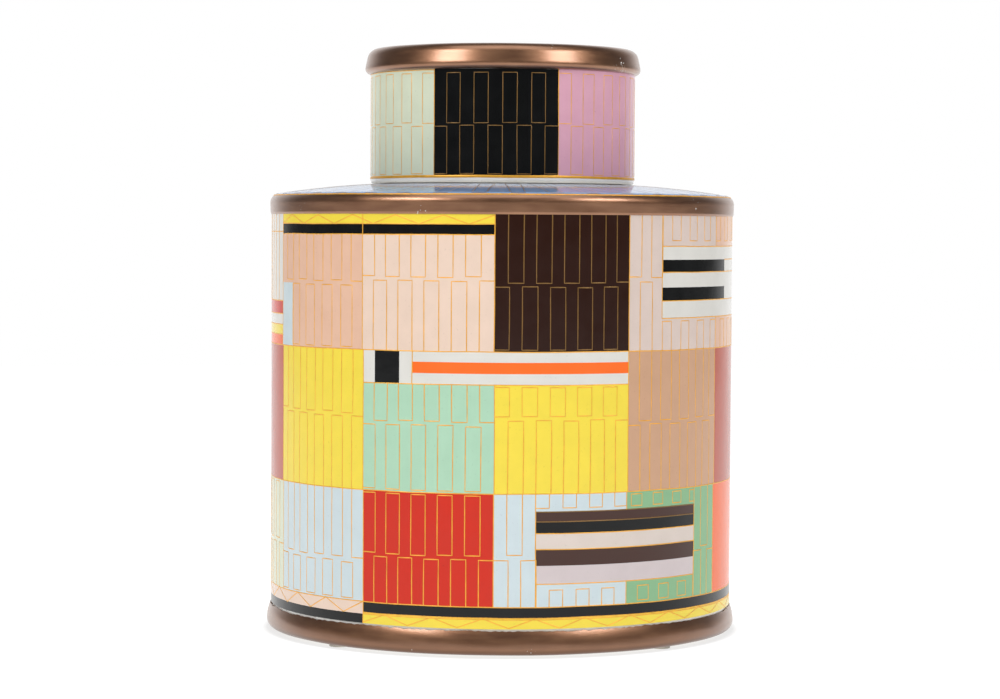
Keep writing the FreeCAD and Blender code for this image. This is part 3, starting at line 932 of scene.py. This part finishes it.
def dome_skin(degrees, radius):
    """Outer and inner point of the shoulder's enamel, by its radius.

    Past DOME_R it laps over the rounded corner, and rises a little to lie on the lustre.
    """
    if radius <= DOME_R:
        height = dome_height(radius)
        return spot(radius, degrees, height), spot(radius, degrees, height - ENAMEL)
    lean = math.asin((radius - DOME_R) / SHOULDER_ROUND)
    middle = DOME_LOW - SHOULDER_ROUND
    raised = SHOULDER_ROUND + min(LUSTRE_OVER, (radius - DOME_R) / 5)
    across, up = math.sin(lean), math.cos(lean)
    outer, inner = (
        spot(DOME_R + reach_out * across, degrees, middle + reach_out * up)
        for reach_out in (raised, SHOULDER_ROUND - ENAMEL)
    )
    return outer, inner


def make_shoulder():
    """Blue enamel over the dome, with long staves of even width that point at the cap."""
    shoulder = Decoration("shoulder", "jar", "shoulder_transfer", dome_skin, 3.0)
    inner, outer = DOME_IN + 0.3, DOME_R + DOME_LAP
    shoulder.field("blue", -180, 180, DOME_R, inner, up=10)
    shoulder.field("blue", -180, 180, outer, DOME_R, up=6)
    shoulder.tone = "dim_gold"
    for index in range(DOME_STAVES):
        middle = DOME_FIRST + 360.0 / DOME_STAVES * index
        start, end = inner + 2.2, outer - 0.9
        steps = [start + (end - start) * i / 10 for i in range(11)]
        side = [(math.degrees(math.asin(DOME_STAVE / 2 / r)), r) for r in steps]
        left = [(middle - a, r) for a, r in side]
        right = [(middle + a, r) for a, r in reversed(side)]
        shoulder.path(*left, *right, closed=True)
    shoulder.hoop(inner, 40)
    shoulder.fire(LINE_WIDTH, DOME_LINE_PROUD)
    rim = Decoration("shoulder", "jar", "shoulder_transfer", dome_skin, 3.0)
    rim.hoop(outer, 40)
    lay_gold("shoulder_rim_line", rim.paths["gold"], rim, RIM_LINE_WIDTH, proud=STOUT_LINE_PROUD)


def cap_skin(degrees, height):
    """Outer and inner point of the cap's enamel."""
    return spot(CAP_R, degrees, height), spot(CAP_R - ENAMEL, degrees, height)


def make_cap():
    """The cap's enamel blocks, with upper and lower staves that are closed all round, and its gold hem."""
    cap = Decoration("lid", "lid", "lid_transfer", cap_skin, 3.0)
    for enamel, first, last in CAP_BLOCKS:
        left, right = CAP_FIRST + CAP_STAVE * first, CAP_FIRST + CAP_STAVE * last
        cap.field(enamel, left, right, CAP_LOW, CAP_TOP)
        cap.path((left, CAP_LOW), (left, CAP_TOP))
        if enamel == "pale_mint":
            cap.path((left, CAP_TOP - 0.3), (right, CAP_TOP - 0.3))
    dark = {n for enamel, first, last in CAP_BLOCKS if enamel in DARK_ENAMELS for n in range(first, last)}
    for stave in range(CAP_COUNT):
        cap.tone = "dim_gold" if stave in dark else "gold"
        left = CAP_FIRST + CAP_STAVE * stave + chance.uniform(-0.1, 0.1)
        slip = chance.uniform(-0.2, 0.2)
        if stave % 2:
            cap.stave(left, left + CAP_STAVE, CAP_SPLIT + 0.6 + slip, CAP_TOP - 1.6)
        else:
            cap.stave(left, left + CAP_STAVE, CAP_LOW + 0.8, CAP_SPLIT - 0.6 + slip)
    cap.fire(CAP_LINE_WIDTH)
    hem = Decoration("lid", "lid", "lid_transfer", cap_skin, 3.0)
    hem.hoop(CAP_LOW - 0.3, CAP_COUNT, CAP_FIRST)
    lay_gold("lid_hem_line", hem.paths["gold"], hem, HEM_LINE_WIDTH, proud=STOUT_LINE_PROUD)


def foot_outline():
    """The foot's bead: rounded under, then one full curve in to the wall."""
    middle_z = FOOT_LOW + FOOT_ROUND
    flare, rise = FOOT_R - WALL_R + 0.1, FOOT_TOP + FOOT_RISE - middle_z
    swell = (flare**2 + rise**2) / (2 * flare)
    lean = math.degrees(math.asin(rise / swell))
    under = arc((FOOT_R - FOOT_ROUND, middle_z), FOOT_ROUND, -90, 0)
    return under + arc((FOOT_R - swell, middle_z), swell, 0, lean, 2)[1:]


def shoulder_outline():
    """The shoulder's band: a short straight side and the rounded corner."""
    bend_z = BAND_TOP - SHOULDER_ROUND * math.sin(math.radians(SHOULDER_TURN))
    side = [(SHOULDER_R - 0.35, BAND_LOW), (SHOULDER_R - 0.05, BAND_LOW + 0.6)]
    return side + arc((DOME_R, bend_z), SHOULDER_ROUND + LUSTRE_OVER, 0, LUSTRE_TURN)


def rim_outline():
    """The cap's bead: a small round under, a side that leans in, a larger round and a flat top."""
    lean = math.radians(RIM_LEAN)
    under_r, under_z = RIM_R - RIM_UNDER, RIM_LOW + RIM_UNDER
    bend_z = RIM_TOP - RIM_ROUND
    rise = bend_z - under_z + (RIM_ROUND - RIM_UNDER) * math.sin(lean)
    bend_r = under_r + (RIM_UNDER - RIM_ROUND) * math.cos(lean) - rise * math.tan(lean)
    outline = arc((under_r, under_z), RIM_UNDER, -90, RIM_LEAN)
    outline += arc((bend_r, bend_z), RIM_ROUND, RIM_LEAN, 90)
    return outline + [(bend_r - RIM_WIDTH, RIM_TOP)]


def foot_edge(degrees):
    """How far the brush stopped short at the foot: slow waves with a fray on them."""
    return 0.8 + 0.45 * ripple(degrees, 0.25, 1.0) + 0.55 * ripple(degrees, 0.022, 2.0)


def shoulder_edge(degrees):
    """The same at the shoulder, where the enamel hides most of it."""
    return 0.15 + 0.15 * ripple(degrees, 0.2, 3.0)


def rim_edge(degrees):
    """The same on the cap's top."""
    return 0.2 + 0.2 * ripple(degrees, 0.15, 4.0)


def make_lustre_bands():
    """The three brushed bands: foot, shoulder and the cap's beaded rim."""
    brushed_band("foot_lustre", foot_outline(), "jar", "foot_band", foot_edge, 0.12, FOOT_LUSTRE)
    brushed_band("shoulder_lustre", shoulder_outline(), "jar", "shoulder_band", shoulder_edge, 0.06)
    brushed_band("lid_rim_lustre", rim_outline(), "lid", "lid_rim_band", rim_edge, 0.06, rings=30)


def make_foot_pads():
    """Felt discs with softened edges and a slightly uneven rim."""
    for node in sorted(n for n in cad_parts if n.startswith("foot_pad")):
        low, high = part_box(node)
        centre, radius = (low + high) / 2 / MM, (high[0] - low[0]) / 2 / MM
        base, top = low[2] / MM, high[2] / MM
        lip = (top - base) * 0.3
        outline = [(0.0, base), (radius - 2 * lip, base)]
        outline += arc((radius - lip, base + lip), lip, -90, 0, 30)
        outline += arc((radius - lip, top - lip), lip, 0, 90, 30)
        outline += [(0.0, top)]
        around = 40
        points, faces = [Vector((centre[0], centre[1], base)) * MM], []
        for step in range(around):
            turn = 2 * math.pi * step / around
            swell = 1 + 0.012 * ripple(360 * step / around, 0.3, 8.0)
            for r, z in outline[1:-1]:
                reach_out = r * swell if r > radius / 2 else r
                x = centre[0] + reach_out * math.cos(turn)
                y = centre[1] + reach_out * math.sin(turn)
                points.append(Vector((x, y, z)) * MM)
        points.append(Vector((centre[0], centre[1], top)) * MM)
        size, last = len(outline) - 2, len(points) - 1
        for step in range(around):
            here, there = 1 + step * size, 1 + (step + 1) % around * size
            faces.append((0, there, here))
            for i in range(size - 1):
                faces.append((here + i, there + i, there + i + 1, here + i + 1))
            faces.append((last, here + size - 1, there + size - 1))
        number = node.rsplit("_", 1)[-1]
        new_piece(f"felt_pad_{number}", points, faces, FINISHES["felt"], "jar", "felt", node)


# ---------------------------------------------------------------- the studio


def make_camera():
    """A camera a little below the shoulder, with a long lens, dipped to the canister's middle.

    It is rolled by a third of a degree, so the canister leans a hair in the picture.
    """
    data = bpy.data.cameras.new("camera")
    data.lens = LENS
    data.sensor_width = 36.0
    camera = bpy.data.objects.new("camera", data)
    camera.location = CAMERA_PLACE
    camera.rotation_euler = [math.radians(turn) for turn in (90 - CAMERA_DIP, CAMERA_ROLL, CAMERA_PAN)]
    bpy.context.collection.objects.link(camera)
    bpy.context.scene.camera = camera


def softbox(name, azimuth, elevation, distance, size, power):
    """A soft light that faces the canister, at an azimuth from the front, to the right."""
    data = bpy.data.lights.new(name, "AREA")
    data.shape, data.size, data.size_y, data.energy = "RECTANGLE", size[0], size[1], power
    light = bpy.data.objects.new(name, data)
    a, e = math.radians(azimuth), math.radians(elevation)
    centre = (Vector(cad_low) + Vector(cad_high)) / 2
    back = Vector((math.sin(a) * math.cos(e), -math.cos(a) * math.cos(e), math.sin(e)))
    light.location = centre + back * distance
    light.rotation_euler = (-back).to_track_quat("-Z", "Y").to_euler()
    light.visible_camera = False
    bpy.context.collection.objects.link(light)


def make_studio():
    """A pale floor, lit from within but for a faint shadow at the foot, a surround and three softboxes.

    The surround is plain white to the camera, but lights the canister mostly from behind.
    """
    material, tree = blank("lit_table_floor")
    dust = grain(tree, place(tree), 400, 2)
    colour = blend_colour(tree, spread(tree, dust, 0, 1), "#8a8a89", "#90908f")
    away = add(tree, "ShaderNodeVectorMath", {0: place(tree)}, operation="LENGTH").outputs["Value"]
    lit = spread(tree, away, CONTACT_SHADE, 1.0, FOOT_R * MM, (FOOT_R + CONTACT_WIDTH) * MM)
    finish_material(
        tree,
        Base_Color=colour,
        Roughness=0.9,
        Specular_IOR_Level=0.0,
        Emission_Color=linear("#ffffff"),
        Emission_Strength=lit,
    )
    sides = 96
    corners = [2 * math.pi * i / sides for i in range(sides)]
    mesh = bpy.data.meshes.new("floor")
    rim = [(FLOOR_RADIUS * math.cos(a), FLOOR_RADIUS * math.sin(a), 0.0) for a in corners]
    mesh.from_pydata(rim, [], [tuple(range(sides))])
    mesh.materials.append(material)
    floor = bpy.data.objects.new("floor", mesh)
    bpy.context.collection.objects.link(floor)

    world = bpy.data.worlds.new("studio")
    bpy.context.scene.world = world
    world.use_nodes = True
    tree = world.node_tree
    tree.nodes.clear()
    toward = add(tree, "ShaderNodeSeparateXYZ", {0: add(tree, "ShaderNodeTexCoord").outputs["Generated"]})
    behind = add(
        tree,
        "ShaderNodeMapRange",
        {"Value": toward.outputs["Y"], "From Min": 0.55, "From Max": 0.95, "To Min": 0.12, "To Max": 1.1},
        interpolation_type="SMOOTHSTEP",
    )
    glow = add(tree, "ShaderNodeBackground", {"Color": (1, 1, 1, 1), "Strength": behind.outputs[0]})
    white = add(tree, "ShaderNodeBackground", {"Color": (1, 1, 1, 1), "Strength": 1.0})
    seen = add(tree, "ShaderNodeLightPath").outputs["Is Camera Ray"]
    mix = add(tree, "ShaderNodeMixShader", {0: seen, 1: glow.outputs[0], 2: white.outputs[0]})
    add(tree, "ShaderNodeOutputWorld", {"Surface": mix.outputs[0]})

    softbox("left_softbox", -46, 32, 1.3, (0.5, 0.3), 6.2)
    softbox("right_softbox", 52, 32, 1.3, (0.5, 0.3), 5.4)
    softbox("top_softbox", 0, 70, 1.2, (1.3, 0.8), 5.1)
    scene = bpy.context.scene
    scene.view_settings.view_transform = "Standard"
    scene.cycles.max_bounces = 8


# ---------------------------------------------------------------- making it

FINISHES = {name: fired_enamel(f"fired_enamel_{name}", code) for name, code in ENAMELS.items()}
FINISHES["blue"] = fired_enamel("fired_enamel_blue", DOME_BLUE, roughness=0.08, relief=0.015)
FINISHES["gold"] = fired_gold("fired_gold", "#f2b03a")
FINISHES["dim_gold"] = fired_gold("fired_gold_on_dark_enamel", "#86622c")
FINISHES["felt"] = wool_felt()
LUSTRE_FINISH = bronze_lustre()
PORCELAIN = glazed_porcelain()
SILICONE = moulded_silicone()
GOLD_LINE = gold_line_tree()

make_camera()
make_studio()
make_wall()
make_shoulder()
make_cap()
make_lustre_bands()
make_foot_pads()
for node, material in (("jar_body", PORCELAIN), ("lid_shell", PORCELAIN), ("neck_seal", SILICONE)):
    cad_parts[node].material_slots[0].material = material
